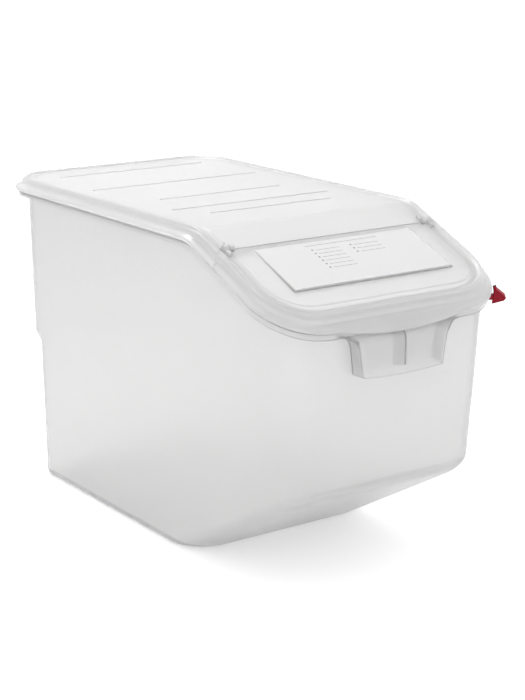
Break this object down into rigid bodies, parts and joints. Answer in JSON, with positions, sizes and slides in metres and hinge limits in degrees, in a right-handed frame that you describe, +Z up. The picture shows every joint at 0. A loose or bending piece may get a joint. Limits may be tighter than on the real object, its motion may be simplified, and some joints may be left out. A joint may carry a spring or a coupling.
{
  "type": "rice bin with flip lid",
  "caption": "Tall translucent kitchen bin for rice or flour: a tub with a cup handle and raked front foot, a lift-off rear cover, a sloping flip lid hinged to it and a red clip on the rim.",
  "frame": {"origin": "on the surface the bin stands on, under the centre of the lid's outline", "axes": "+Z up, -Y towards the front with the flip lid and the handle, X across the width with the colour clip on the +X side"},
  "size_m": [0.32, 0.613, 0.394],
  "materials": {
    "translucent_polypropylene": "satin",
    "white_polypropylene": "satin",
    "red_plastic": "gloss"
  },
  "bodies": {
    "bin": {"tub": "translucent_polypropylene"},
    "cover": {"rear_cover": "white_polypropylene"},
    "flip": {"flip_lid": "white_polypropylene"},
    "clip": {"colour_clip": "red_plastic"}
  },
  "joints": [
    {"name": "cover_lift", "type": "slide", "parent": "bin", "child": "cover", "axis": [0, 0, 1], "range_m": [0, 0.12]},
    {"name": "flip_hinge", "type": "hinge", "parent": "cover", "child": "flip", "pos_m": [0, -0.175, 0.37673], "axis": [-1, 0, 0], "range_deg": [0, 165]},
    {"name": "clip_pull", "type": "slide", "parent": "bin", "child": "clip", "axis": [0, 0, -1], "range_m": [0, 0.03]}
  ]
}
